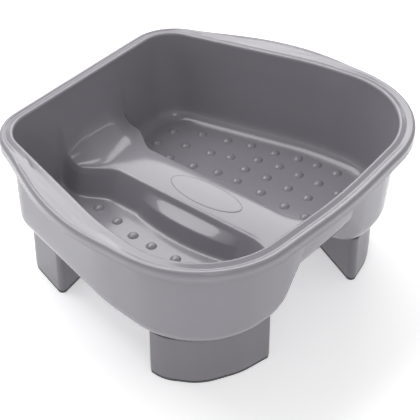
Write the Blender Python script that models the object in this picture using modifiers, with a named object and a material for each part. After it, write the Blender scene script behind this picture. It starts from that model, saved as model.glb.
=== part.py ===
"""Foot spa basin: a tub with two foot wells, a folded centre ridge and four push-on legs.

Metres, +Z up. The origin is on the floor, under the middle of the rim's rectangle.
The toe end is at -Y, the heel end at +Y, and the YZ plane is the mirror plane.
"""
import math

import bmesh
import bpy
import numpy as np

# Wall, floor and the start of the rim
WALL = 0.003
FLOOR = 0.065
FILLET = 0.017
LIP_START = 0.180
GAP = 0.0003

# Rim section outward from the inner edge: (distance out, height)
RIM_SECTION = (
    (0.0010, 0.1836),
    (0.0036, 0.1850),
    (0.0066, 0.1842),
    (0.0086, 0.1836),
    (0.0122, 0.1842),
    (0.0152, 0.1828),
    (0.0168, 0.1795),
    (0.0172, 0.1725),
)
FLANGE_START = 0.0086
FLANGE_FULL = 0.0122
FLANGE_TAPER = 0.010
HANDLE_WIDEN = 0.0155
HANDLE_MID_Y = 0.042
HANDLE_HALF = 0.135
HANDLE_FACING = (0.5, 0.9)

# Plan outlines, right half: corner points with the radius of each corner
TOP_CORNERS = (
    ((0.206, -0.161), 0.098),
    ((0.187, -0.011), 0.300),
    ((0.133, 0.1765), 0.040),
)
TOP_TOE_Y = -0.1755
BASE_CORNERS = (
    ((0.1955, -0.152), 0.092),
    ((0.183, -0.011), 0.300),
    ((0.1365, 0.1695), 0.037),
)
BASE_TOE_Y = -0.1665
TOE_BOW_RADIUS = 0.6

# Centre ridge: its top, the lens-shaped shelf along each side, and the flares at both ends
RIDGE_TOP = 0.100
RIDGE_HALF = 0.027
RIDGE_FOOT = 0.0435
RIDGE_EDGE = 0.0015
RIDGE_EDGE_DROP = 0.0025
SIDE_STEP = (0.0035, -0.0080)
SHELF_STEP = (0.0160, -0.0070)
SHELF_FOOT = 0.0100
SHELF_MIDDLE_Y = -0.0035
SHELF_REACH = 0.069
FLARES = ((-0.085, -0.155, 0.023, 0.030), (0.105, 0.150, 0.023, 0.018))
FOOT_COVE = 0.004
FOOT_APRON = 0.006

# What the cove's radius gains at the heel wall and the toe wall, and where each gain fades out
HEEL_COVE = 0.028
HEEL_FADE_X = (0.060, 0.020)
TOE_COVE = 0.014
TOE_FADE_X = (0.090, 0.058)

# Massage studs, right well: rows as (crest y, crest x, bow, first x, pitch, studs)
STUD_RADIUS = 0.0054
STUD_HEIGHT = 0.0024
STUD_ROWS = (
    (-0.1215, 0.120, 6.0, 0.076, 0.0290, 3),
    (-0.0905, 0.133, 6.5, 0.073, 0.0300, 4),
    (-0.0615, 0.135, 6.5, 0.073, 0.0303, 4),
    (-0.0335, 0.133, 6.5, 0.074, 0.0293, 4),
    (-0.0050, 0.122, 7.0, 0.077, 0.0270, 4),
    (0.0235, 0.112, 6.0, 0.077, 0.0243, 4),
    (0.0518, 0.113, 5.5, 0.076, 0.0340, 3),
    (0.0755, 0.100, 0.0, 0.068, 0.0330, 3),
    (0.1085, 0.100, 0.0, 0.063, 0.0310, 3),
    (0.1395, 0.100, 0.0, 0.076, 0.0310, 2),
)

# Legs, pads and the spigots that the legs push onto
LEG_WALL = 0.003
LEG_TOP = FLOOR - WALL - GAP
LEG_EDGE = 0.0022
PAD_THICK = 0.0027
PAD_INSET = 0.0006
SPIGOT_DEPTH = 0.009
SPIGOT_ROOT = 0.0015
SPIGOT_CLEAR = 0.0004
TIP_RADIUS = 0.006
TOE_FRONT = ((0.1191, -0.1452), (0.1595, -0.1228), (0.1802, -0.0860))
TOE_FRONT_RADII = (0.080, 0.060, 0.040)
TOE_TIPS = ((0.1785, -0.0645), (0.110, -0.0755), (0.0725, -0.1560))
HEEL_TIPS = ((0.1505, 0.0885), (0.1285, 0.1595), (0.078, 0.1595), (0.098, 0.0965))
HEEL_ARC_RADIUS = 0.026

# Oval badge plate in the ridge
BADGE_HALF_X = 0.019
BADGE_HALF_Y = 0.050
BADGE_DEPTH = 0.0012
BADGE_PROUD = 0.0002

# Steps of the outlines and columns of the floor grid
ARC_STEPS = 24
EDGE_STEPS = 24
RIDGE_COLUMNS = 10
WELL_PLACES = (0.22, 0.45, 0.66, 0.84, 1.0)
END_PASSES = 20


def new_material(name, colour, roughness):
    material = bpy.data.materials.new(name)
    material.use_nodes = True
    shader = material.node_tree.nodes["Principled BSDF"]
    shader.inputs["Base Color"].default_value = (*colour, 1.0)
    shader.inputs["Roughness"].default_value = roughness
    shader.inputs["Metallic"].default_value = 0.0
    return material


def new_object(name, verts, faces, collection, material=None):
    mesh = bpy.data.meshes.new(name)
    mesh.from_pydata([tuple(v) for v in verts], [], faces)
    if material:
        mesh.materials.append(material)
    obj = bpy.data.objects.new(name, mesh)
    collection.objects.link(obj)
    return obj


def smooth(value):
    """Smoothstep: 0 below 0, 1 above 1, level at both ends."""
    t = np.clip(value, 0.0, 1.0)
    return t * t * (3.0 - 2.0 * t)


def rounded(points, radii, steps=ARC_STEPS):
    """Closed polygon with rounded corners; a corner of radius 0 stays one point."""
    points = [np.array(p, float) for p in points]
    out = []
    for i, corner in enumerate(points):
        if radii[i] == 0.0:
            out.append(corner)
            continue
        before = points[i - 1] - corner
        after = points[(i + 1) % len(points)] - corner
        before = before / np.linalg.norm(before)
        after = after / np.linalg.norm(after)
        half = math.acos(float(np.clip(before @ after, -1.0, 1.0))) / 2.0
        bisector = (before + after) / np.linalg.norm(before + after)
        centre = corner + bisector * radii[i] / math.sin(half)
        start = corner + before * radii[i] / math.tan(half) - centre
        end = corner + after * radii[i] / math.tan(half) - centre
        turn = math.pi - 2.0 * half
        for angle in np.linspace(0.0, turn, steps + 1):
            out.append(centre + (math.sin(turn - angle) * start + math.sin(angle) * end) / math.sin(turn))
    return np.array(out)


class Outline:
    """Closed plan curve, anticlockwise from the middle of the toe edge, read by station 0 to 1."""

    def __init__(self, corners, toe_y):
        right = [point for point, radius in corners]
        radii = [radius for point, radius in corners]
        left = [(-x, y) for x, y in reversed(right)]
        arcs = rounded([(0.0, toe_y)] + right + left, [TOE_BOW_RADIUS] + radii + radii[::-1])
        bow = arcs[:ARC_STEPS + 1]
        half = ARC_STEPS // 2
        ring = np.vstack([bow[half:], arcs[ARC_STEPS + 1:], bow[:half + 1]])
        pieces = []
        for a, b in zip(ring[:-1], ring[1:]):
            pieces.append(a + (b - a) * np.linspace(0, 1, EDGE_STEPS, endpoint=False)[:, None])
        self.points = np.vstack(pieces + [ring[-1:]])
        self.stations = np.linspace(0.0, 1.0, len(self.points))
        tangent = np.gradient(self.points, axis=0)
        tangent[0] = tangent[-1] = (1.0, 0.0)
        tangent /= np.linalg.norm(tangent, axis=1)[:, None]
        self.normals = np.stack([tangent[:, 1], -tangent[:, 0]], axis=1)

    def at(self, stations, outward=0.0):
        ring = self.points + self.normals * outward
        return self.read(ring, stations)

    def normal(self, stations):
        return self.read(self.normals, stations)

    def read(self, values, stations):
        columns = [np.interp(stations, self.stations, values[:, k]) for k in range(2)]
        return np.stack(columns, axis=1)


TOP = Outline(TOP_CORNERS, TOP_TOE_Y)
BASE = Outline(BASE_CORNERS, BASE_TOE_Y)


def ridge_section(y):
    """Half section of the ridge at one place along it, as (distance from the middle, height)."""
    shelf = max(0.0, 1.0 - ((y - SHELF_MIDDLE_Y) / SHELF_REACH) ** 2)
    half = RIDGE_HALF
    foot = RIDGE_FOOT + SHELF_FOOT * shelf
    for start, end, more_top, more_foot in FLARES:
        weight = float(smooth((y - start) / (end - start)))
        half += more_top * weight
        foot += more_foot * weight
    side = np.array([half + SIDE_STEP[0], RIDGE_TOP + SIDE_STEP[1]])
    sole = np.array([foot, FLOOR])
    shelf_edge = side + np.array(SHELF_STEP) * shelf + (sole - side) * 0.35 * (1.0 - shelf)
    slope = (shelf_edge - sole) / np.linalg.norm(shelf_edge - sole)
    return np.array([
        (0.0, RIDGE_TOP),
        (half * 0.55, RIDGE_TOP),
        (half - RIDGE_EDGE, RIDGE_TOP),
        (half + RIDGE_EDGE, RIDGE_TOP - RIDGE_EDGE_DROP),
        side,
        shelf_edge,
        (shelf_edge + sole) / 2.0,
        sole + slope * FOOT_COVE,
        (foot + FOOT_COVE * 0.5, FLOOR),
        (foot + FOOT_APRON + FOOT_COVE * 0.5, FLOOR),
    ])


def cove_radius(plan):
    """Radius of the cove between floor and wall: larger in the middle of both end walls."""
    side = np.abs(plan[:, 0])
    heel = HEEL_COVE * smooth((HEEL_FADE_X[0] - side) / (HEEL_FADE_X[0] - HEEL_FADE_X[1]))
    toe = TOE_COVE * smooth((TOE_FADE_X[0] - side) / (TOE_FADE_X[0] - TOE_FADE_X[1]))
    return FILLET + np.where(plan[:, 1] > 0.0, heel, toe)


def sheet_rows():
    """Places of the grid rows, 0 at the toe corners and 1 at the heel corners."""
    toe = np.array([0.0, 0.05, 0.10, 0.155, 0.22])
    middle = np.array([0.31, 0.41, 0.51, 0.61, 0.71])
    heel = np.array([0.79, 0.855, 0.905, 0.95, 1.0])
    return np.concatenate([toe, middle, heel])


def floor_row(y, reach):
    """One row of the right half of the floor: each column's place at its own y, out to reach."""
    ridge = np.array([ridge_section(value)[j] for j, value in enumerate(y[:RIDGE_COLUMNS])])
    out = np.array(WELL_PLACES)
    well_x = ridge[-1, 0] + (reach - ridge[-1, 0]) * out
    x = np.concatenate([ridge[:, 0], well_x])
    z = np.concatenate([ridge[:, 1], np.full(len(out), FLOOR)])
    return x, z


def floor_grid():
    """The floor as rows x columns x 3, and the outline stations of its edge in ring order."""
    edge = BASE.points - BASE.normals * cove_radius(BASE.points)[:, None]
    count = len(edge) // 2 + 1
    edge, stations, slope = edge[:count], BASE.stations[:count], BASE.normals[:count]
    toe_turn = int(np.argmin(np.abs(slope[:, 0] + slope[:, 1])))
    heel_turn = toe_turn + int(np.argmin(np.abs(slope[toe_turn:, 0] - slope[toe_turn:, 1])))
    toe, side, heel = edge[:toe_turn + 1], edge[toe_turn:heel_turn + 1], edge[heel_turn:][::-1]
    rows = sheet_rows()
    side_y = side[0, 1] + rows * (side[-1, 1] - side[0, 1])
    side_x = np.interp(side_y, side[:, 1], side[:, 0])
    toe_y = np.full(RIDGE_COLUMNS + len(WELL_PLACES), toe[0, 1])
    heel_y = np.full(len(toe_y), heel[0, 1])
    for _ in range(END_PASSES):
        toe_y = np.interp(floor_row(toe_y, side_x[0])[0], toe[:, 0], toe[:, 1])
        heel_y = np.interp(floor_row(heel_y, side_x[-1])[0], heel[:, 0], heel[:, 1])
    right = []
    for place, reach in zip(rows, side_x):
        y = (1.0 - place) * toe_y + place * heel_y
        x, z = floor_row(y, reach)
        right.append(np.stack([x, y, z], axis=1))
    right = np.array(right)
    left = right[:, :0:-1] * np.array([-1.0, 1.0, 1.0])
    toe_t = np.interp(right[0, :, 0], toe[:, 0], stations[:toe_turn + 1])
    heel_t = np.interp(right[-1, :, 0], heel[:, 0], stations[heel_turn:][::-1])
    side_t = np.interp(side_y, side[:, 1], stations[toe_turn:heel_turn + 1])
    right_ring = np.concatenate([toe_t[:-1], side_t[:-1], heel_t[:0:-1]])
    ring = np.concatenate([1.0 - toe_t[:0:-1], right_ring, 1.0 - heel_t[:-1], 1.0 - side_t[:0:-1]])
    return np.concatenate([left, right], axis=1), ring


def flange_extra(plan, outward):
    """How much wider than its section the flange is: wide at the side grips, narrow at the heel."""
    reach = np.clip(np.abs(plan[:, 1] - HANDLE_MID_Y) / HANDLE_HALF, 0.0, 1.0)
    low, high = HANDLE_FACING
    facing = smooth((np.abs(outward[:, 0]) - low) / (high - low))
    return HANDLE_WIDEN * facing * np.cos(reach * math.pi / 2.0) ** 2 - FLANGE_TAPER * plan[:, 1]


def tub_rings(stations, edge_height):
    """Rings of the tub from the floor's edge up the wall and over the rim to the skirt's hem."""
    base = BASE.at(stations)
    top = TOP.at(stations)
    inward = BASE.normal(stations)
    outward = TOP.normal(stations)
    cove = cove_radius(base)
    rings = []
    for angle in np.radians([25.0, 50.0, 72.0, 90.0]):
        plan = base - inward * (cove * (1.0 - math.sin(angle)))[:, None]
        rings.append((plan, edge_height + cove * (1.0 - math.cos(angle))))
    rings.append((top, np.full(len(stations), LIP_START)))
    extra = flange_extra(top, outward)
    for out, height in RIM_SECTION:
        weight = smooth((out - FLANGE_START) / (FLANGE_FULL - FLANGE_START))
        rings.append((top + outward * (out + extra * weight)[:, None], np.full(len(stations), height)))
    return rings


def ring_indices(rows, columns):
    """Vertex numbers round the edge of the floor grid, in the order of its stations."""
    grid = np.arange(rows * columns).reshape(rows, columns)
    return np.concatenate([grid[0, :-1], grid[:-1, -1], grid[-1, :0:-1], grid[:0:-1, 0]])


def tub_sheet(collection, material):
    """The tub's visible face as one open sheet: a floor grid, then rings out to the hem."""
    floor, ring = floor_grid()
    rows, columns = floor.shape[:2]
    flat = floor.reshape(-1, 3)
    verts = [flat]
    grid = np.arange(rows * columns).reshape(rows, columns)
    faces = []
    for i in range(rows - 1):
        for j in range(columns - 1):
            faces.append((grid[i, j], grid[i, j + 1], grid[i + 1, j + 1], grid[i + 1, j]))
    last = ring_indices(rows, columns)
    total = len(flat)
    for plan, height in tub_rings(ring, flat[last, 2]):
        verts.append(np.column_stack([plan, height]))
        current = total + np.arange(len(ring))
        total += len(ring)
        for k in range(len(ring)):
            after = (k + 1) % len(ring)
            faces.append((last[k], current[k], current[after], last[after]))
        last = current
    faces = [tuple(int(v) for v in face) for face in faces]
    obj = new_object("basin", np.vstack(verts), faces, collection, material)
    shell = obj.modifiers.new("wall", "SOLIDIFY")
    shell.thickness = WALL
    shell.offset = -1.0
    shell.use_even_offset = True
    return obj


def stud_places():
    """Centres of the massage studs of both wells; each row bows away from its crest."""
    places = []
    for crest_y, crest_x, bow, first_x, pitch, count in STUD_ROWS:
        for place in range(count):
            x = first_x + pitch * place
            y = crest_y - bow * (x - crest_x) ** 2
            places += [(x, y), (-x, y)]
    return places


def prism(name, plan, low, high, collection, material=None):
    """Closed prism on an anticlockwise plan curve."""
    count = len(plan)
    verts = [(x, y, low) for x, y in plan] + [(x, y, high) for x, y in plan]
    faces = [tuple(reversed(range(count))), tuple(range(count, 2 * count))]
    for k in range(count):
        after = (k + 1) % count
        faces.append((k, after, count + after, count + k))
    return new_object(name, verts, faces, collection, material)


def boolean(obj, tool, operation):
    step = obj.modifiers.new(tool.name, "BOOLEAN")
    step.object = tool
    step.operation = operation
    step.solver = "EXACT"
    tool.hide_render = True
    tool.display_type = "WIRE"


def toe_leg_plan():
    """Right toe leg: a face that bends round under the tub's corner, then two faces behind it."""
    radii = list(TOE_FRONT_RADII) + [TIP_RADIUS] * len(TOE_TIPS)
    return rounded(TOE_FRONT + TOE_TIPS, radii, steps=5)


def heel_leg_plan():
    """Right heel leg: four corners, the one under the tub's corner with a wide round."""
    radii = [TIP_RADIUS, HEEL_ARC_RADIUS, TIP_RADIUS, TIP_RADIUS]
    return rounded(HEEL_TIPS, radii, steps=6)


def inset(plan, distance):
    """Plan curve moved inwards by a distance along its own normals."""
    tangent = np.roll(plan, -1, axis=0) - np.roll(plan, 1, axis=0)
    tangent /= np.linalg.norm(tangent, axis=1)[:, None]
    return plan + np.stack([-tangent[:, 1], tangent[:, 0]], axis=1) * distance


def mirrored(plan):
    """The same plan on the other side of the mirror plane, still anticlockwise."""
    return plan[::-1] * np.array([-1.0, 1.0])


def leg(name, plan, collection, material):
    """Cup with an open top: a wall, a rounded bottom edge and a floor, as a sheet with thickness."""
    bottom = PAD_THICK + GAP
    levels = [(0.0, LEG_TOP), (0.0, bottom + LEG_EDGE), (LEG_EDGE, bottom)]
    verts = []
    for distance, height in levels:
        verts += [(x, y, height) for x, y in inset(plan, distance)]
    count = len(plan)
    faces = [tuple(reversed(range(2 * count, 3 * count)))]
    for level in range(2):
        for k in range(count):
            after = (k + 1) % count
            upper, lower = level * count, (level + 1) * count
            faces.append((upper + k, lower + k, lower + after, upper + after))
    obj = new_object(name, verts, faces, collection, material)
    shell = obj.modifiers.new("wall", "SOLIDIFY")
    shell.thickness = LEG_WALL
    shell.offset = -1.0
    shell.use_even_offset = True
    return obj


def ellipse(half_x, half_y, count):
    angles = np.linspace(0.0, 2.0 * math.pi, count, endpoint=False)
    return np.stack([half_x * np.cos(angles), half_y * np.sin(angles)], axis=1)


def stud_tool(collection):
    """All the massage studs as one group of low domes that stand in the floor."""
    mesh = bmesh.new()
    for x, y in stud_places():
        made = bmesh.ops.create_cone(
            mesh, cap_ends=True, segments=8, radius1=STUD_RADIUS, radius2=STUD_RADIUS * 0.5,
            depth=STUD_HEIGHT * 2.0,
        )
        bmesh.ops.translate(mesh, verts=made["verts"], vec=(x, y, FLOOR))
    data = bpy.data.meshes.new("studs")
    mesh.to_mesh(data)
    mesh.free()
    obj = bpy.data.objects.new("studs", data)
    collection.objects.link(obj)
    return obj


def main():
    for obj in list(bpy.data.objects):
        bpy.data.objects.remove(obj, do_unlink=True)
    parts = bpy.data.collections.new("foot_spa_basin")
    tools = bpy.data.collections.new("cutters")
    bpy.context.scene.collection.children.link(parts)
    bpy.context.scene.collection.children.link(tools)

    tub_grey = new_material("tub_polypropylene", (0.30, 0.29, 0.32), 0.35)
    leg_grey = new_material("leg_polypropylene", (0.22, 0.21, 0.235), 0.42)
    badge_grey = new_material("badge_polypropylene", (0.36, 0.35, 0.38), 0.30)
    pad_grey = new_material("pad_rubber", (0.10, 0.10, 0.11), 0.80)

    basin = tub_sheet(parts, tub_grey)
    boolean(basin, stud_tool(tools), "UNION")
    plans = {
        "front_right": toe_leg_plan(),
        "front_left": mirrored(toe_leg_plan()),
        "back_right": heel_leg_plan(),
        "back_left": mirrored(heel_leg_plan()),
    }
    under = FLOOR - WALL
    for corner, plan in plans.items():
        spigot_plan = inset(plan, LEG_WALL + SPIGOT_CLEAR)
        spigot = prism(corner + "_spigot", spigot_plan, under - SPIGOT_DEPTH, under + SPIGOT_ROOT, tools)
        boolean(basin, spigot, "UNION")
        leg(corner + "_leg", plan, parts, leg_grey)
        prism(corner + "_pad", inset(plan, PAD_INSET), 0.0, PAD_THICK, parts, pad_grey)

    recess_floor = RIDGE_TOP - BADGE_DEPTH
    oval = ellipse(BADGE_HALF_X, BADGE_HALF_Y, 40)
    recess = prism("badge_recess", oval, recess_floor, RIDGE_TOP + WALL, tools)
    boolean(basin, recess, "DIFFERENCE")
    plate = ellipse(BADGE_HALF_X - GAP, BADGE_HALF_Y - GAP, 40)
    prism("ridge_badge", plate, recess_floor + GAP, RIDGE_TOP + BADGE_PROUD, parts, badge_grey)


main()
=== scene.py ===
# %% [markdown]
# A foot spa basin, made as a lesson in cells.
#
# The real object is one injection-moulded tub of grey polypropylene with two foot wells, a raised
# ridge between them, a broad rolled rim and four legs that push onto spigots under its corners.
# The solid model gives every size and every joint. This script makes the surfaces that a hand and
# an eye would notice: the soft folds of the ridge, the coves, the bead of the rim and the studs.

import math

import bpy
import numpy as np
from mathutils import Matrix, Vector


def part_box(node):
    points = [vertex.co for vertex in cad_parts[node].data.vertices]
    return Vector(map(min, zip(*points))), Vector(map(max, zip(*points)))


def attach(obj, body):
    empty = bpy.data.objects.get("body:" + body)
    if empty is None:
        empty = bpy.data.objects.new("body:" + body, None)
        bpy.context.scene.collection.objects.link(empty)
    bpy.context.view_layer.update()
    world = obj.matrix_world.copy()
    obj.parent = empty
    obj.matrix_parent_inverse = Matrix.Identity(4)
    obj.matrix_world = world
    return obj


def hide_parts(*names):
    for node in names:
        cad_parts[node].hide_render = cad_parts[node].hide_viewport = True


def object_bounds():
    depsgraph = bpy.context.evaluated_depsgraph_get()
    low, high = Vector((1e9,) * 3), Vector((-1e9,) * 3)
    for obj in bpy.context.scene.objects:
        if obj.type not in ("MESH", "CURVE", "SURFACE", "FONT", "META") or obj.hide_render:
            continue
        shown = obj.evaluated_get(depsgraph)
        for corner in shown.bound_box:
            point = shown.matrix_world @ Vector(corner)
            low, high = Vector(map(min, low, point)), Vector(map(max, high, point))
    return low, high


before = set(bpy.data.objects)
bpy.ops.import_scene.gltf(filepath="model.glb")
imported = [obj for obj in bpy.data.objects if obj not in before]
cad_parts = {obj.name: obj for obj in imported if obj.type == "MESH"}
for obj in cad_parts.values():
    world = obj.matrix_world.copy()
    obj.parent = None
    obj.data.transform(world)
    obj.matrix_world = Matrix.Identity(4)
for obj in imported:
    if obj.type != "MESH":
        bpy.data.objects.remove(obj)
cad_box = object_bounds()
low, high = (np.array(corner) for corner in cad_box)
print("overall size in mm:", np.round((high - low) * 1000, 1))

# %% [markdown]
# Every height comes from the solid model. The rim's top is the top of the box. A leg's own box says
# how tall the leg is, and the floor of the wells lies one wall thickness above the leg.

# %% Heights and thicknesses
GAP = 0.0003
WALL = 0.003
PLATE_PROUD = 0.0002
rim_top = high[2]
leg_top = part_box("front_left_leg")[1][2]
pad_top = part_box("front_left_pad")[1][2]
badge_low, badge_high = (np.array(corner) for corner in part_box("ridge_badge"))
well_floor = leg_top + GAP + WALL
ridge_top = badge_high[2] - PLATE_PROUD
heights = np.array([well_floor, ridge_top, rim_top])
print("well floor, ridge top and rim top in mm:", np.round(heights * 1e3, 1))

# %% [markdown]
# A few small helpers carry the whole model. `smoothstep` blends one shape into another.
# `round_corner` turns the corner of a polygon into an arc, and `fold` turns a whole row of corners
# into soft folds. `grid_quads` numbers the quads of a grid without a loop over its points, and
# `closed_stack` makes one closed surface of rings that lie above each other.

# %% Shape helpers
def smoothstep(value):
    """t*t*(3 - 2t) of the value clipped to 0..1, so the blend is level at both ends."""
    t = np.clip(value, 0.0, 1.0)
    return t * t * (3.0 - 2.0 * t)


def unit(vectors):
    """Vectors divided by their length."""
    return vectors / np.maximum(np.linalg.norm(vectors, axis=-1), 1e-12)[..., None]


def round_corner(before, corner, after, radius, count):
    """Arc that touches both legs of a corner, as count x ... x 2 points.

    The centre lies on the bisector at radius / sin(half the corner's angle), and the points
    between the two touching points are spread evenly by angle.
    """
    corner = np.asarray(corner, float)
    leg_a = unit(np.asarray(before, float) - corner)
    leg_b = unit(np.asarray(after, float) - corner)
    half = np.arccos(np.clip((leg_a * leg_b).sum(-1), -1.0, 1.0)) / 2.0
    half = np.minimum(half, math.pi / 2.0 - 1e-4)
    centre = corner + unit(leg_a + leg_b) * (radius / np.sin(half))[..., None]
    start = corner + leg_a * (radius / np.tan(half))[..., None] - centre
    end = corner + leg_b * (radius / np.tan(half))[..., None] - centre
    turn = (math.pi - 2.0 * half)[..., None]
    arcs = [
        centre + (np.sin(turn * (1.0 - share)) * start + np.sin(turn * share) * end) / np.sin(turn)
        for share in np.linspace(0.0, 1.0, count)
    ]
    return np.array(arcs)


def rounded_loop(points, radii, count):
    """Closed polygon whose corners are arcs, each with the same number of points."""
    total = len(points)
    arcs = [
        round_corner(points[k - 1], points[k], points[(k + 1) % total], np.float64(radii[k]), count)
        for k in range(total)
    ]
    return np.vstack(arcs)


def fold(before, corner, after, reach, count):
    """Parabola that touches both legs of a corner at a given reach from it.

    A point at share t is (1 - t) squared of the start, 2t(1 - t) of the corner and t squared of
    the end, so the points stay apart even where the corner is nearly straight.
    """
    start = corner + unit(before - corner) * reach
    end = corner + unit(after - corner) * reach
    share = np.linspace(0.0, 1.0, count)[:, None, None]
    return (1.0 - share) ** 2 * start + 2.0 * share * (1.0 - share) * corner + share ** 2 * end


def grid_quads(numbers, wrap=False):
    """Quads between neighbouring rows and columns of an array of vertex numbers."""
    if wrap:
        numbers = np.concatenate([numbers, numbers[:, :1]], axis=1)
    corners = (numbers[:-1, :-1], numbers[:-1, 1:], numbers[1:, 1:], numbers[1:, :-1])
    return np.stack(corners, axis=2).reshape(-1, 4)


def closed_stack(rings, middles):
    """Points and faces of rings, from the top down, with a fan to a middle point at both ends."""
    numbers = np.arange(rings.shape[0] * rings.shape[1]).reshape(rings.shape[:2])
    after = np.roll(numbers, -1, axis=1)
    points = np.vstack([rings.reshape(-1, 3), middles])
    last = np.full(rings.shape[1], len(points) - 1)
    upper_fan = np.stack([numbers[0], after[0], last - 1], axis=1)
    lower_fan = np.stack([after[-1], numbers[-1], last], axis=1)
    return points, [grid_quads(numbers, wrap=True)[:, ::-1], upper_fan, lower_fan]


# %% [markdown]
# A mesh is filled from whole arrays. The object stays at the origin, unturned and unscaled, because
# its place is in its points, and it is told which body of the solid model it moves with.

# %% Piece helper
def add_piece(name, points, face_blocks, body, nodes=()):
    """Puts points and blocks of faces in a mesh that rides on a body, and hides the solid nodes it takes the
    place of.
    """
    mesh = bpy.data.meshes.new(name)
    faces = [face for block in face_blocks for face in np.asarray(block).tolist()]
    mesh.from_pydata(np.asarray(points).tolist(), [], faces)
    mesh.shade_smooth()
    mesh.update()
    piece = bpy.data.objects.new(name, mesh)
    bpy.context.scene.collection.objects.link(piece)
    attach(piece, body)
    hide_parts(*nodes)
    print(name, "has", len(points), "points and", len(faces), "faces")
    return piece


def add_wall(piece, thickness):
    """Gives an open sheet its thickness on the side that its faces turn away from."""
    wall = piece.modifiers.new("wall", "SOLIDIFY")
    wall.thickness = thickness
    wall.offset = -1.0


# %% [markdown]
# Seen from above, the tub is a rounded trapezium: broad and round at the toes, narrower and tighter
# at the heels. A polygon with a radius at each corner describes it. A second polygon, a little
# smaller, is the foot of the wall, so the wall leans out, as a moulded wall must to leave its tool.

# %% Plan outlines
TOP_CORNERS = (((0.206, -0.161), 0.098), ((0.187, -0.011), 0.300), ((0.133, 0.1765), 0.040))
TOP_TOE_Y = -0.1755
BASE_CORNERS = (((0.1955, -0.152), 0.092), ((0.183, -0.011), 0.300), ((0.1365, 0.1695), 0.037))
BASE_TOE_Y = -0.1665
TOE_BOW_RADIUS = 0.6
ARC_POINTS = 25
RUN_POINTS = 24


class Outline:
    """Closed plan curve, anticlockwise from the middle of the toe edge, read by station 0 to 1.

    Every arc and every straight run holds the same number of points in each outline, so one
    station names matching places on both.
    """

    def __init__(self, corners, toe_y):
        right = [point for point, radius in corners]
        left = [(-x, y) for x, y in right[::-1]]
        radii = [radius for point, radius in corners]
        radii = [TOE_BOW_RADIUS] + radii + radii[::-1]
        loop = rounded_loop([(0.0, toe_y)] + right + left, radii, ARC_POINTS)
        ring = np.vstack([loop[ARC_POINTS // 2:], loop[:ARC_POINTS // 2 + 1]])
        share = np.linspace(0.0, 1.0, RUN_POINTS, endpoint=False)[None, :, None]
        runs = ring[:-1, None] + (ring[1:] - ring[:-1])[:, None] * share
        self.points = np.vstack([runs.reshape(-1, 2), ring[-1:]])
        self.stations = np.linspace(0.0, 1.0, len(self.points))
        tangent = np.gradient(self.points, axis=0)
        tangent[0] = tangent[-1] = (1.0, 0.0)
        self.normals = unit(np.stack([tangent[:, 1], -tangent[:, 0]], axis=1))

    def read(self, values, stations):
        """Values along the curve at the given stations."""
        return np.stack([np.interp(stations, self.stations, values[:, k]) for k in range(2)], axis=1)


top_outline = Outline(TOP_CORNERS, TOP_TOE_Y)
base_outline = Outline(BASE_CORNERS, BASE_TOE_Y)
print("rim opening, half width in mm:", round(float(top_outline.points[:, 0].max()) * 1e3, 1))

# %% [markdown]
# The ridge is a fold in the tub's floor. Its cross-section is a crowned top, a short steep side, a
# lens-shaped shelf that fades out towards both ends, and a flank that runs into the well through a
# small cove. At both ends the ridge grows wider before it meets the end walls. The section is a
# polygon with rounded corners whose points depend on the place along the ridge, so every mesh line
# follows a fold of the real part and no fold is jagged.

# %% Ridge section
RIDGE_HALF = 0.027
RIDGE_FOOT = 0.0435
EDGE_DROP = 0.0015
CROWN = 0.0020
SIDE_STEP = (0.0035, 0.0065)
SHELF_STEP = (0.0160, 0.0070)
SHELF_FOOT = 0.0100
SHELF_MIDDLE_Y = -0.0035
SHELF_REACH = 0.069
TOE_FLARE = (-0.085, -0.155, 0.023, 0.030)
HEEL_FLARE = (0.105, 0.150, 0.023, 0.018)
FOOT_APRON = 0.008
SHELF_REST = 0.35
FOLD_REACH = (0.0018, 0.0014, 0.0016, 0.0045)
FOLD_POINTS = (5, 4, 5, 6)
BETWEEN_POINTS = (7, 1, 4, 4)
SECTION_END = 0.19
SECTION_PLACES = 761


def ridge_section(y):
    """Half section of the ridge as columns x places x (distance from the middle, height).

    The shelf's weight is 1 - (distance / reach) squared, and where it has faded its edge rests
    part of the way down the flank. Each flare is a smoothstep along the ridge that moves the top
    edge and the foot outwards. The crown adds its height times 1 - (x / half width) squared.
    """
    shelf = np.clip(1.0 - ((y - SHELF_MIDDLE_Y) / SHELF_REACH) ** 2, 0.0, 1.0)
    half = np.full(len(y), RIDGE_HALF)
    foot = RIDGE_FOOT + SHELF_FOOT * shelf
    for start, end, more_top, more_foot in (TOE_FLARE, HEEL_FLARE):
        flare = smoothstep((y - start) / (end - start))
        half += more_top * flare
        foot += more_foot * flare
    edge_height = ridge_top - EDGE_DROP
    level = np.full(len(y), edge_height)
    middle = np.stack([np.zeros(len(y)), level], axis=1)
    edge = np.stack([half, level], axis=1)
    side = edge + np.array([SIDE_STEP[0], -SIDE_STEP[1]])
    sole = np.stack([foot, np.full(len(y), well_floor)], axis=1)
    shelf_edge = side + np.array([SHELF_STEP[0], -SHELF_STEP[1]]) * shelf[:, None]
    shelf_edge += (sole - side) * SHELF_REST * (1.0 - shelf[:, None])
    apron = sole + np.array([FOOT_APRON, 0.0])
    corners = [middle, edge, side, shelf_edge, sole, apron]
    blocks = [middle[None]]
    for k, between in enumerate(BETWEEN_POINTS):
        arc = fold(*corners[k:k + 3], FOLD_REACH[k], FOLD_POINTS[k])
        share = np.arange(1, between + 1)[:, None, None] / (between + 1)
        blocks.append(blocks[-1][-1] + (arc[0] - blocks[-1][-1]) * share)
        blocks.append(arc)
    blocks.append(apron[None])
    section = np.concatenate(blocks)
    crown = np.clip(1.0 - (section[..., 0] / half) ** 2, 0.0, 1.0)
    section[..., 1] += CROWN * crown
    return section


section_y = np.linspace(-SECTION_END, SECTION_END, SECTION_PLACES)
section_table = ridge_section(section_y)
print("columns across half the ridge:", len(section_table))

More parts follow.
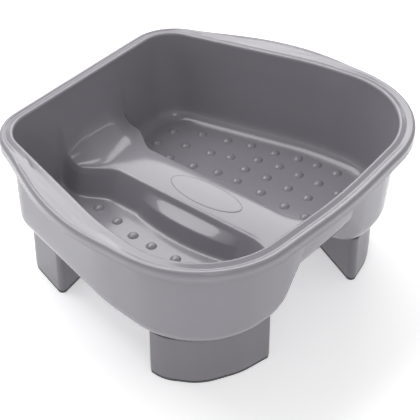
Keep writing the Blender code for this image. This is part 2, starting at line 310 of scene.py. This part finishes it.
# %% [markdown]
# Where a floor meets a wall there is a cove. In the wells it is small. In the middle of the toe end
# it is larger, and at the heel end of the ridge it is largest, so the ridge sweeps up into the end
# wall like a short pillar.

# %% Cove radius
FILLET = 0.017
HEEL_COVE = 0.028
HEEL_FADE_X = (0.060, 0.020)
TOE_COVE = 0.014
TOE_FADE_X = (0.090, 0.058)


def cove_radius(plan):
    """Radius of the cove at plan points: a gain at each end wall that fades out by smoothstep."""
    side = np.abs(plan[:, 0])
    heel = HEEL_COVE * smoothstep((HEEL_FADE_X[0] - side) / (HEEL_FADE_X[0] - HEEL_FADE_X[1]))
    toe = TOE_COVE * smoothstep((TOE_FADE_X[0] - side) / (TOE_FADE_X[0] - TOE_FADE_X[1]))
    return FILLET + np.where(plan[:, 1] > 0.0, heel, toe)


# %% [markdown]
# The floor is a grid that fits inside the foot of the wall. Its columns are the points of the ridge
# section, then even steps out to the wall, and its rows run from the toe wall to the heel wall. The
# four corners of the grid lie where the wall turns by 45 degrees, so the quads stay well shaped.
# A column's ends and its distance from the middle depend on each other, so a few passes settle them.

# %% Floor grid
WELL_COLUMNS = 22
FLOOR_ROWS = 111
END_PASSES = 20


def floor_grid():
    """Points of the floor as rows x columns x 3, and the outline stations round its edge."""
    edge = base_outline.points - base_outline.normals * cove_radius(base_outline.points)[:, None]
    count = len(edge) // 2 + 1
    edge, stations, slope = edge[:count], base_outline.stations[:count], base_outline.normals[:count]
    toe_turn = int(np.argmin(np.abs(slope[:, 0] + slope[:, 1])))
    heel_turn = toe_turn + int(np.argmin(np.abs(slope[toe_turn:, 0] - slope[toe_turn:, 1])))
    toe, side, heel = edge[:toe_turn + 1], edge[toe_turn:heel_turn + 1], edge[heel_turn:][::-1]
    rows = np.linspace(0.0, 1.0, FLOOR_ROWS)
    side_y = side[0, 1] + rows * (side[-1, 1] - side[0, 1])
    side_x = np.interp(side_y, side[:, 1], side[:, 0])
    out = np.linspace(0.0, 1.0, WELL_COLUMNS + 1)[1:]

    def columns_at(y, reach):
        """Distance from the middle and height of every column at its own y."""
        ridge = [
            [np.interp(y[:, j], section_y, table[:, k]) for k in range(2)]
            for j, table in enumerate(section_table)
        ]
        ridge = np.array(ridge).transpose(2, 0, 1)
        last = ridge[:, -1:, 0]
        well = last + (reach[:, None] - last) * out
        x = np.concatenate([ridge[..., 0], well], axis=1)
        z = np.concatenate([ridge[..., 1], np.full(well.shape, well_floor)], axis=1)
        return x, z

    total = len(section_table) + WELL_COLUMNS
    ends = np.zeros((2, total))
    reach = side_x[[0, -1]]
    for _ in range(END_PASSES):
        end_x = columns_at(ends, reach)[0]
        toe_y = np.interp(end_x[0], toe[:, 0], toe[:, 1])
        heel_y = np.interp(end_x[1], heel[:, 0], heel[:, 1])
        ends = np.stack([toe_y, heel_y])
    y = (1.0 - rows[:, None]) * ends[0] + rows[:, None] * ends[1]
    x, z = columns_at(y, side_x)
    right = np.stack([x, y, z], axis=2)
    left = right[:, :0:-1] * np.array([-1.0, 1.0, 1.0])
    toe_t = np.interp(x[0], toe[:, 0], stations[:toe_turn + 1])
    heel_t = np.interp(x[-1], heel[:, 0], stations[heel_turn:][::-1])
    side_t = np.interp(side_y, side[:, 1], stations[toe_turn:heel_turn + 1])
    right_ring = np.concatenate([toe_t[:-1], side_t[:-1], heel_t[:0:-1]])
    ring = np.concatenate([1.0 - toe_t[:0:-1], right_ring, 1.0 - heel_t[:-1], 1.0 - side_t[:0:-1]])
    return np.concatenate([left, right], axis=1), ring


def edge_numbers(rows, columns):
    """Vertex numbers round the edge of a grid, anticlockwise from its first corner."""
    numbers = np.arange(rows * columns).reshape(rows, columns)
    return np.concatenate([numbers[0, :-1], numbers[:-1, -1], numbers[-1, :0:-1], numbers[:0:-1, 0]])


floor_points, floor_ring = floor_grid()
print("floor grid:", floor_points.shape[0], "rows x", floor_points.shape[1], "columns")

# %% [markdown]
# The rim is one section carried round the opening: a round bead, a shallow groove, a flat flange
# and an outer edge that rolls down to the hem. The flange is widest at the two side grips, where
# fine lines run along it, and narrowest at the heel.

# %% Rim section
LIP_START = 0.180
HEM = 0.1725
RIM_CORNERS = (
    ((0.0000, 0.1860), 0.0027),
    ((0.0092, 0.1834), 0.0025),
    ((0.0118, 0.1845), 0.0040),
    ((0.0170, 0.1845), 0.0040),
)
RIM_END = (0.0174, HEM)
RIM_ARC_POINTS = (7, 4, 4, 7)
RIM_RUN_POINTS = (0, 2, 1, 26)
FLANGE_FROM = 0.0092
FLANGE_TO = 0.0130
FLANGE_TAPER = 0.010
HANDLE_WIDEN = 0.0155
HANDLE_MID_Y = 0.042
HANDLE_HALF = 0.135
HANDLE_FACING = (0.5, 0.9)


def rim_profile():
    """Rim section as (distance outward, height) from the top of the wall to the hem."""
    corners = [(0.0, LIP_START)] + [point for point, radius in RIM_CORNERS] + [RIM_END]
    path = [np.array(corners[:1])]
    for k, (point, radius) in enumerate(RIM_CORNERS):
        arc = round_corner(corners[k], point, corners[k + 2], np.float64(radius), RIM_ARC_POINTS[k])
        share = np.arange(1, RIM_RUN_POINTS[k] + 1)[:, None] / (RIM_RUN_POINTS[k] + 1)
        path.append(path[-1][-1] + (arc[0] - path[-1][-1]) * share)
        path.append(arc)
    path.append(np.array([RIM_END]))
    profile = np.vstack(path)
    profile[1:-1, 1] -= profile[:, 1].max() - rim_top
    return profile[1:]


rim_path = rim_profile()
print("rings in the rim:", len(rim_path), "highest in mm:", round(rim_path[:, 1].max() * 1e3, 2))

# %% [markdown]
# The tub is now one open sheet: the floor grid, then ring after ring up the cove, the wall and over
# the rim. A Solidify modifier gives it the real wall thickness, which also makes the hem, the
# hollow under the flange and the open fold under the ridge.

# %% Tub sheet
COVE_RINGS = 8
WALL_RINGS = 8
GRIP_PITCH = 0.0034
GRIP_DEPTH = 0.0006
GRIP_BAND = (0.0035, 0.0172)
GRIP_SOFT = 0.001
GRIP_FADE = (0.25, 0.55)


def tub_rings(stations, edge):
    """Rings from the floor's edge to the hem, as rings x stations x 3.

    A cove ring at angle a stands radius * (1 - sin a) inside the wall's foot and
    radius * (1 - cos a) above the floor's edge. The wall's rings run straight to the rim. The
    flange's share of its extra width grows evenly from the groove to the outer edge. The grip
    lines are a cosine wave of the distance from that edge.
    """
    base = base_outline.read(base_outline.points, stations)
    inward = base_outline.read(base_outline.normals, stations)
    top = top_outline.read(top_outline.points, stations)
    outward = unit(top_outline.read(top_outline.normals, stations))
    radius = cove_radius(base)
    angles = np.linspace(0.0, math.pi / 2.0, COVE_RINGS + 1)[1:, None]
    cove_plan = base - inward * (radius * (1.0 - np.sin(angles)))[..., None]
    cove_z = edge[:, 2] + radius * (1.0 - np.cos(angles))
    share = np.linspace(0.0, 1.0, WALL_RINGS + 1)[1:, None]
    wall_plan = base + (top - base) * share[..., None]
    wall_z = cove_z[-1] + (LIP_START - cove_z[-1]) * share
    reach = np.clip(np.abs(top[:, 1] - HANDLE_MID_Y) / HANDLE_HALF, 0.0, 1.0)
    sideways = np.abs(outward[:, 0])
    facing = smoothstep((sideways - HANDLE_FACING[0]) / (HANDLE_FACING[1] - HANDLE_FACING[0]))
    grip = facing * np.cos(reach * math.pi / 2.0) ** 2
    extra = HANDLE_WIDEN * grip - FLANGE_TAPER * top[:, 1]
    out, height = rim_path[:, :1], rim_path[:, 1:]
    wide = np.clip((out - FLANGE_FROM) / (FLANGE_TO - FLANGE_FROM), 0.0, 1.0)
    distance = out + extra * wide
    rim_plan = top + outward * distance[..., None]
    from_edge = distance[-1] - distance
    inside = smoothstep((from_edge - GRIP_BAND[0]) / GRIP_SOFT)
    inside = inside * smoothstep((GRIP_BAND[1] - from_edge) / GRIP_SOFT)
    lines = 0.5 - 0.5 * np.cos(2.0 * math.pi * (from_edge - GRIP_BAND[0]) / GRIP_PITCH)
    fade = smoothstep((grip - GRIP_FADE[0]) / (GRIP_FADE[1] - GRIP_FADE[0]))
    rim_z = height - GRIP_DEPTH * inside * lines * fade
    plans = np.concatenate([cove_plan, wall_plan, rim_plan])
    heights = np.concatenate([cove_z, wall_z, rim_z])
    return np.concatenate([plans, heights[..., None]], axis=2)


row_count, column_count = floor_points.shape[:2]
edge_index = edge_numbers(row_count, column_count)
flat_floor = floor_points.reshape(-1, 3)
rings = tub_rings(floor_ring, flat_floor[edge_index])
ring_numbers = len(flat_floor) + np.arange(rings.shape[0] * rings.shape[1]).reshape(rings.shape[:2])
skirt = np.vstack([edge_index[None], ring_numbers])
floor_quads = grid_quads(np.arange(len(flat_floor)).reshape(row_count, column_count))
skirt_quads = grid_quads(skirt, wrap=True)[:, ::-1]
tub_points = np.vstack([flat_floor, rings.reshape(-1, 3)])
tub = add_piece("tub_shell", tub_points, [floor_quads, skirt_quads], "tub", ["basin"])
add_wall(tub, WALL)

# %% [markdown]
# Studs on the floor of each well press into the soles. Each one is a low dome with a broad crown
# and a steep edge. One dome is computed once and copied to every place by adding its centre to all
# of its points, so the whole field is one array. Each row bows, with its crest in the well.

# %% Massage studs
STUD_RADIUS = 0.0064
STUD_HEIGHT = 0.0030
STUD_SINK = 0.0012
STUD_POWER = 2.4
STUD_ROWS = (
    (-0.1215, 0.120, 6.0, 0.076, 0.0290, 3),
    (-0.0905, 0.133, 6.5, 0.073, 0.0300, 4),
    (-0.0615, 0.135, 6.5, 0.073, 0.0303, 4),
    (-0.0335, 0.133, 6.5, 0.074, 0.0293, 4),
    (-0.0050, 0.122, 7.0, 0.077, 0.0270, 4),
    (0.0235, 0.112, 6.0, 0.077, 0.0243, 4),
    (0.0518, 0.113, 5.5, 0.076, 0.0340, 3),
    (0.0755, 0.100, 0.0, 0.068, 0.0330, 3),
    (0.1085, 0.100, 0.0, 0.063, 0.0310, 3),
    (0.1395, 0.100, 0.0, 0.076, 0.0310, 2),
)


def stud_centres():
    """Stud places of both wells; a row's y falls by bow * (x - crest) squared from its crest."""
    places = []
    for crest_y, crest_x, bow, first, pitch, count in STUD_ROWS:
        x = first + pitch * np.arange(count)
        places.append(np.stack([x, crest_y - bow * (x - crest_x) ** 2], axis=1))
    right = np.vstack(places)
    return np.vstack([right, right * np.array([-1.0, 1.0])])


def stud_dome(segments=20):
    """Dome as rings x segments x 3: height * (1 - r to a power), then a foot below the floor."""
    reach = np.array([0.16, 0.34, 0.52, 0.68, 0.82, 0.93, 1.0, 1.0])
    height = STUD_HEIGHT * (1.0 - reach ** STUD_POWER)
    height[-1] = -STUD_SINK
    angle = np.linspace(0.0, 2.0 * math.pi, segments, endpoint=False)
    circle = np.stack([np.cos(angle), np.sin(angle), np.zeros(segments)], axis=1)
    rise = np.array([0.0, 0.0, 1.0])
    return circle * (STUD_RADIUS * reach)[:, None, None] + rise * height[:, None, None]


centres = stud_centres()
one_stud, stud_blocks = closed_stack(stud_dome(), [[0.0, 0.0, STUD_HEIGHT], [0.0, 0.0, -STUD_SINK]])
places = np.column_stack([centres, np.full(len(centres), well_floor)])
stud_points = (places[:, None] + one_stud).reshape(-1, 3)
steps = np.arange(len(centres))[:, None, None] * len(one_stud)
stud_faces = [(block + steps).reshape(-1, block.shape[1]) for block in stud_blocks]
studs = add_piece("massage_studs", stud_points, stud_faces, "tub", ["basin"])

# %% [markdown]
# The legs are short hollow columns whose plan follows the corner of the tub above them. Each one is
# a cup: a wall, a rounded bottom edge and a sole. The plan is a polygon with rounded corners, and
# the cup is the plan carried down through levels that move inwards at the bottom edge.

# %% Leg plans
TOE_LEG = (
    ((0.1191, -0.1452), 0.080),
    ((0.1595, -0.1228), 0.060),
    ((0.1802, -0.0860), 0.040),
    ((0.1785, -0.0645), 0.006),
    ((0.1100, -0.0755), 0.006),
    ((0.0725, -0.1560), 0.006),
)
HEEL_LEG = (
    ((0.1505, 0.0885), 0.006),
    ((0.1285, 0.1595), 0.026),
    ((0.0780, 0.1595), 0.006),
    ((0.0980, 0.0965), 0.006),
)
LEG_ARC_POINTS = 24


def even_steps(loop, count):
    """Closed curve read again at even steps along its length."""
    closed = np.vstack([loop, loop[:1]])
    length = np.concatenate([[0.0], np.cumsum(np.linalg.norm(np.diff(closed, axis=0), axis=1))])
    stations = np.linspace(0.0, length[-1], count, endpoint=False)
    return np.stack([np.interp(stations, length, closed[:, k]) for k in range(2)], axis=1)


def leg_plan(corners, count=240):
    """Leg outline as even points, anticlockwise."""
    points, radii = zip(*corners)
    return even_steps(rounded_loop(points, radii, LEG_ARC_POINTS), count)


def mirrored(plan):
    """The same outline on the other side of the middle plane, still anticlockwise."""
    return plan[::-1] * np.array([-1.0, 1.0])


def inset(plan, distance):
    """Outline moved inwards along its own normals."""
    tangent = unit(np.roll(plan, -1, axis=0) - np.roll(plan, 1, axis=0))
    return plan + np.stack([-tangent[:, 1], tangent[:, 0]], axis=1) * distance


def carried(plan, levels):
    """Outline carried through (inset, height) levels from the top down, as a closed surface."""
    count = len(plan)
    rings = [np.column_stack([inset(plan, away), np.full(count, height)]) for away, height in levels]
    middles = [np.append(plan.mean(0), height) for height in (levels[0][1], levels[-1][1])]
    return closed_stack(np.array(rings), middles)


plans = {
    "front_right": leg_plan(TOE_LEG),
    "front_left": mirrored(leg_plan(TOE_LEG)),
    "back_right": leg_plan(HEEL_LEG),
    "back_left": mirrored(leg_plan(HEEL_LEG)),
}
print("leg outlines:", ", ".join(plans))

# %% [markdown]
# A level list turns an outline into each of the three parts at a corner: the cup of the leg, the
# soft sole under it, and the spigot under the tub that the leg pushes onto.

# %% Legs, soles and spigots
LEG_EDGE = 0.0018
SPIGOT_DEPTH = 0.009
SPIGOT_CLEAR = 0.0004
SPIGOT_EDGE = 0.0015
SPIGOT_ROOT = 0.0015
SOLE_INSET = 0.0006
SOLE_EDGE = 0.0007
SOLE_BEVEL = 0.0005
CUP_BEVEL = 0.0012
CUP_LIP = ((WALL - 0.0003, 0.0003), (WALL - 0.001, 0.0), (0.0008, 0.0), (0.0002, 0.0003), (0.0, 0.0009))
edge_angles = np.linspace(0.0, math.pi / 2.0, 6)[1:]
leg_bottom = pad_top + GAP


def edge_levels(top, bottom, radius, start=0.0):
    """Levels of a straight side that ends in a rounded bottom edge."""
    straight = [(start, height) for height in np.linspace(top, bottom + radius, 6)]
    turned = [(radius * (1.0 - math.cos(a)), radius * (1.0 - math.sin(a))) for a in edge_angles]
    return straight + [(start + across, bottom + up) for across, up in turned]


def cup_levels(top, bottom):
    """Levels of a hollow leg: inside floor, inner wall up, rounded lip, outer wall down, sole edge."""
    floor = bottom + WALL
    inside = [(WALL + CUP_BEVEL, floor), (WALL, floor + CUP_BEVEL), (WALL, top - 0.001)]
    lip = [(away, top - depth) for away, depth in CUP_LIP]
    return inside + lip + edge_levels(top - 0.003, bottom, LEG_EDGE)


legs, soles, spigots = [], [], []
for corner, plan in plans.items():
    body = corner + "_foot"
    points, blocks = carried(plan, cup_levels(leg_top, leg_bottom))
    legs.append(add_piece(corner + "_column", points, blocks, body, [corner + "_leg"]))
    levels = [(SOLE_INSET + SOLE_BEVEL, pad_top), (SOLE_INSET, pad_top - SOLE_BEVEL)]
    levels += edge_levels(pad_top - 0.0008, 0.0, SOLE_EDGE, SOLE_INSET)
    points, blocks = carried(plan, levels)
    soles.append(add_piece(corner + "_sole", points, blocks, body, [corner + "_pad"]))
    under = well_floor - WALL
    levels = edge_levels(under + SPIGOT_ROOT, under - SPIGOT_DEPTH, SPIGOT_EDGE, WALL + SPIGOT_CLEAR)
    points, blocks = carried(plan, levels)
    spigots.append(add_piece(corner + "_spigot", points, blocks, "tub", ["basin"]))

# %% [markdown]
# An oval plate lies in the top of the ridge. On many basins it carries a name; here it is left
# blank. It follows the crown of the ridge, with a rolled edge that casts a thin line round it.

# %% Oval plate
plate_half = (badge_high - badge_low)[:2] / 2.0
plate_middle = (badge_high + badge_low)[:2] / 2.0


def oval_plate(rings_across=14, segments=96):
    """Ovals of growing size on the ridge's crown, 0.6 mm proud of it, with a rolled edge."""
    share = np.append(np.linspace(0.06, 0.94, rings_across), [0.965, 0.985, 0.996, 1.0, 1.0])
    proud = np.append(np.full(rings_across, 0.0006), [0.00055, 0.0004, 0.0002, -0.0001, -0.0010])
    angle = np.linspace(0.0, 2.0 * math.pi, segments, endpoint=False)
    x = plate_middle[0] + share[:, None] * plate_half[0] * np.cos(angle)
    y = plate_middle[1] + share[:, None] * plate_half[1] * np.sin(angle)
    z = ridge_top - EDGE_DROP + CROWN * (1.0 - (x / RIDGE_HALF) ** 2) + proud[:, None]
    return np.stack([x, y, z], axis=2)


plate_rings = oval_plate()
plate_points, plate_blocks = closed_stack(plate_rings, [plate_rings[0].mean(0), plate_rings[-1].mean(0)])
plate = add_piece("ridge_plate", plate_points, plate_blocks, "tub", ["ridge_badge"])

# %% [markdown]
# Finishes are node graphs. Writing them as sums and products is easier to read than wiring boxes by
# hand, so a small class wraps an output socket and turns each operator into a Math node.

# %% Shader arithmetic
class Link:
    """An output socket that can be added, taken away and multiplied."""

    def __init__(self, graph, socket):
        self.graph = graph
        self.socket = socket

    def math(self, operation, first, second):
        return self.graph.node("ShaderNodeMath", {"operation": operation}, {0: first, 1: second})["Value"]

    def __add__(self, other):
        return self.math("ADD", self, other)

    def __sub__(self, other):
        return self.math("SUBTRACT", self, other)

    def __mul__(self, other):
        return self.math("MULTIPLY", self, other)

    __radd__ = __add__


class Graph:
    """The node tree of a material or of a world, whose nodes are all made by one method."""

    def __init__(self, owner, last="Principled BSDF", coordinates="Object"):
        owner.use_nodes = True
        self.owner = owner
        self.tree = owner.node_tree
        self.last = self.tree.nodes[last]
        self.place = self.node("ShaderNodeTexCoord", {}, {})[coordinates]

    def plug(self, socket, value):
        if isinstance(value, Link):
            self.tree.links.new(value.socket, socket)
        else:
            socket.default_value = value

    def node(self, kind, settings, inputs):
        """A node of a kind, with its settings made first, then the values or links of its sockets."""
        made = self.tree.nodes.new(kind)
        for name, value in settings.items():
            setattr(made, name, value)
        for key, value in inputs.items():
            self.plug(made.inputs[key], value)
        return {output.name: Link(self, output) for output in made.outputs if output.enabled}

    def finish(self, **inputs):
        """Plugs values or links into the last node and hands back the material or the world."""
        for name, value in inputs.items():
            self.plug(self.last.inputs[name.replace("_", " ")], value)
        return self.owner

    def noise(self, scale, detail, rough=0.5):
        inputs = {"Vector": self.place, "Scale": scale, "Detail": detail, "Roughness": rough}
        return self.node("ShaderNodeTexNoise", {}, inputs)["Fac"]

    def blend(self, factor, first, second):
        made = self.node("ShaderNodeMix", {"data_type": "RGBA"}, {"Factor": factor, "A": first, "B": second})
        return made["Result"]


def shade(colour, factor):
    """A colour made darker or lighter, with its alpha."""
    return tuple(part * factor for part in colour) + (1.0,)


print("shader helpers ready")

# %% [markdown]
# Moulded polypropylene is a semi-gloss plastic with a very fine grain from the tool. Its gloss
# varies a little where hands and feet have rubbed it, and fine, faint scuffs cross it. The grain is
# a bump about half a millimetre across, and the rest is in colour and roughness.

# %% Moulded plastic
def moulded_plastic(name, colour, rough, rough_spread, grain):
    """Semi-gloss plastic: base colour with cloudy variation, fine grain, rubbed patches and scuffs."""
    graph = Graph(bpy.data.materials.new(name))
    cloud = graph.noise(11.0, 3.0)
    fine = graph.noise(1700.0, 2.0)
    rubbed = graph.noise(34.0, 5.0, 0.65)
    stretch = {"Vector": graph.place, "Scale": (900.0, 60.0, 200.0)}
    stretched = graph.node("ShaderNodeMapping", {}, stretch)["Vector"]
    streaks = graph.node("ShaderNodeTexNoise", {}, {"Vector": stretched, "Scale": 1.0, "Detail": 2.0})["Fac"]
    limits = {"Value": streaks, "From Min": 0.66, "From Max": 0.80}
    scuff = graph.node("ShaderNodeMapRange", {}, limits)["Result"]
    dark, light, pale = (shade(colour, factor) for factor in (0.955, 1.045, 1.22))
    tint = graph.blend(cloud, dark, light)
    tint = graph.blend(scuff * 0.16, tint, pale)
    gloss = rough + (rubbed - 0.5) * rough_spread + scuff * 0.06
    relief = {"Strength": 1.0, "Distance": grain, "Height": fine + rubbed * 0.35}
    bump = graph.node("ShaderNodeBump", {}, relief)["Normal"]
    return graph.finish(Base_Color=tint, Roughness=gloss, Normal=bump)


tub_plastic = moulded_plastic("tub_plastic", (0.268, 0.258, 0.285), 0.13, 0.06, 0.000009)
# The legs are the tub's own plastic. Their darker colour is painted shade for the shade that falls under the
# tub.
leg_plastic_painted_shade = moulded_plastic("leg_plastic_painted_shade", (0.195, 0.187, 0.208), 0.34, 0.10, 0.000016)
plate_plastic = moulded_plastic("plate_plastic", (0.275, 0.265, 0.292), 0.13, 0.05, 0.000006)

# %% [markdown]
# The soles are a soft, matt rubber. A coarser grain and a high, uneven roughness take its shine away.

# %% Rubber
def rubber(name, colour):
    """Matt rubber with a pebbled grain and dusty patches."""
    graph = Graph(bpy.data.materials.new(name))
    pebble = graph.node("ShaderNodeTexVoronoi", {}, {"Vector": graph.place, "Scale": 900.0})["Distance"]
    dust = graph.noise(60.0, 4.0)
    tint = graph.blend(dust, shade(colour, 0.85), shade(colour, 1.25))
    relief = {"Strength": 0.6, "Distance": 0.00006, "Height": pebble}
    bump = graph.node("ShaderNodeBump", {}, relief)["Normal"]
    return graph.finish(Base_Color=tint, Roughness=0.66 + dust * 0.2, Normal=bump)


sole_rubber = rubber("sole_rubber", (0.10, 0.10, 0.105))
finishes = {
    tub_plastic: [tub, studs] + spigots,
    leg_plastic_painted_shade: legs,
    sole_rubber: soles,
    plate_plastic: [plate],
}
for material, pieces in finishes.items():
    for piece in pieces:
        piece.data.materials.append(material)
print("finishes:", ", ".join(material.name for material in finishes))

# %% [markdown]
# The stage is a pale floor in a plain room. One large soft light stands behind and to the right,
# low enough to be mirrored in the top of the ridge. A second hangs above the heel end and lights
# the ridge's shelf, and a small third one stands at the front left. A narrow bright strip runs
# round the room and draws thin highlights along the coves and folds.

# %% Stage and light
STAGE_DROP = 0.0002
STAGE_GLOW = 0.47


def add_floor(size, colour):
    """A pale square under the object, just below its soles."""
    reach = size / 2.0
    corners = [(-reach, -reach), (reach, -reach), (reach, reach), (-reach, reach)]
    mesh = bpy.data.meshes.new("stage_floor")
    mesh.from_pydata([(x, y, -STAGE_DROP) for x, y in corners], [], [[0, 1, 2, 3]])
    floor = bpy.data.objects.new("stage_floor", mesh)
    bpy.context.scene.collection.objects.link(floor)
    graph = Graph(bpy.data.materials.new("pale_floor"))
    pale = graph.blend(graph.noise(3.0, 2.0), shade(colour, 0.99), shade(colour, 1.0))
    glow = {"Emission_Color": pale, "Emission_Strength": STAGE_GLOW}
    mesh.materials.append(graph.finish(Base_Color=pale, Roughness=0.7, **glow))
    return floor


def add_softbox(name, direction, distance, width, height, power, aim):
    """A rectangular light at a distance in a direction from the point it is aimed at."""
    light = bpy.data.lights.new(name, "AREA")
    light.shape = "RECTANGLE"
    light.size = width
    light.size_y = height
    light.energy = power
    lamp = bpy.data.objects.new(name, light)
    away = Vector(direction).normalized()
    lamp.location = Vector(aim) + away * distance
    lamp.rotation_euler = away.to_track_quat("Z", "Y").to_euler()
    bpy.context.scene.collection.objects.link(lamp)
    return lamp


middle = (low + high) / 2.0
add_floor(14.0, (0.90, 0.90, 0.905))
add_softbox("back_softbox", (0.61, 0.49, 0.66), 1.9, 1.6, 0.9, 16.0, middle)
add_softbox("top_softbox", (-0.03, 0.49, 0.88), 1.8, 1.3, 1.0, 18.0, middle)
add_softbox("front_softbox", (-0.38, -0.49, 0.76), 2.2, 0.6, 0.6, 3.5, middle)


def add_room(name, strength, strip, strip_from, strip_to, soft):
    """A plain room with a narrow bright strip all round it, between two heights in its sky."""
    graph = Graph(bpy.data.worlds.new(name), "Background", "Generated")
    height = graph.node("ShaderNodeSeparateXYZ", {}, {0: graph.place})["Z"]

    def rise(start):
        limits = {"Value": height, "From Min": start, "From Max": start + soft}
        return graph.node("ShaderNodeMapRange", {"interpolation_type": "SMOOTHSTEP"}, limits)["Result"]

    glow = (rise(strip_from) - rise(strip_to)) * strip + strength
    return graph.finish(Color=(1.0, 1.0, 1.0, 1.0), Strength=glow)


bpy.context.scene.world = add_room("studio_room", 0.40, 3.2, 0.36, 0.40, 0.02)
bpy.context.scene.view_settings.view_transform = "Standard"
print("three softboxes and a plain room stand round the object")

# %% [markdown]
# The camera looks down on the wells from the left of the toe end. Its lens is long, so that the
# outline is only a little drawn together at the back.

# %% Camera
AIM = (-0.01987, -0.02165, 0.100)
AZIMUTH = -51.04
ELEVATION = 38.49
DISTANCE = 1.5714
LENS = 121.2


def add_camera():
    """A camera on the line from the aim point at an azimuth and an elevation."""
    turn, rise = math.radians(AZIMUTH), math.radians(ELEVATION)
    back = Vector((math.sin(turn) * math.cos(rise), -math.cos(turn) * math.cos(rise), math.sin(rise)))
    data = bpy.data.cameras.new("camera")
    data.lens = LENS
    data.sensor_width = 36.0
    camera = bpy.data.objects.new("camera", data)
    camera.location = Vector(AIM) + back * DISTANCE
    camera.rotation_euler = back.to_track_quat("Z", "Y").to_euler()
    bpy.context.scene.collection.objects.link(camera)
    return camera


bpy.context.scene.camera = add_camera()
print("camera at", [round(value, 3) for value in bpy.context.scene.camera.location])
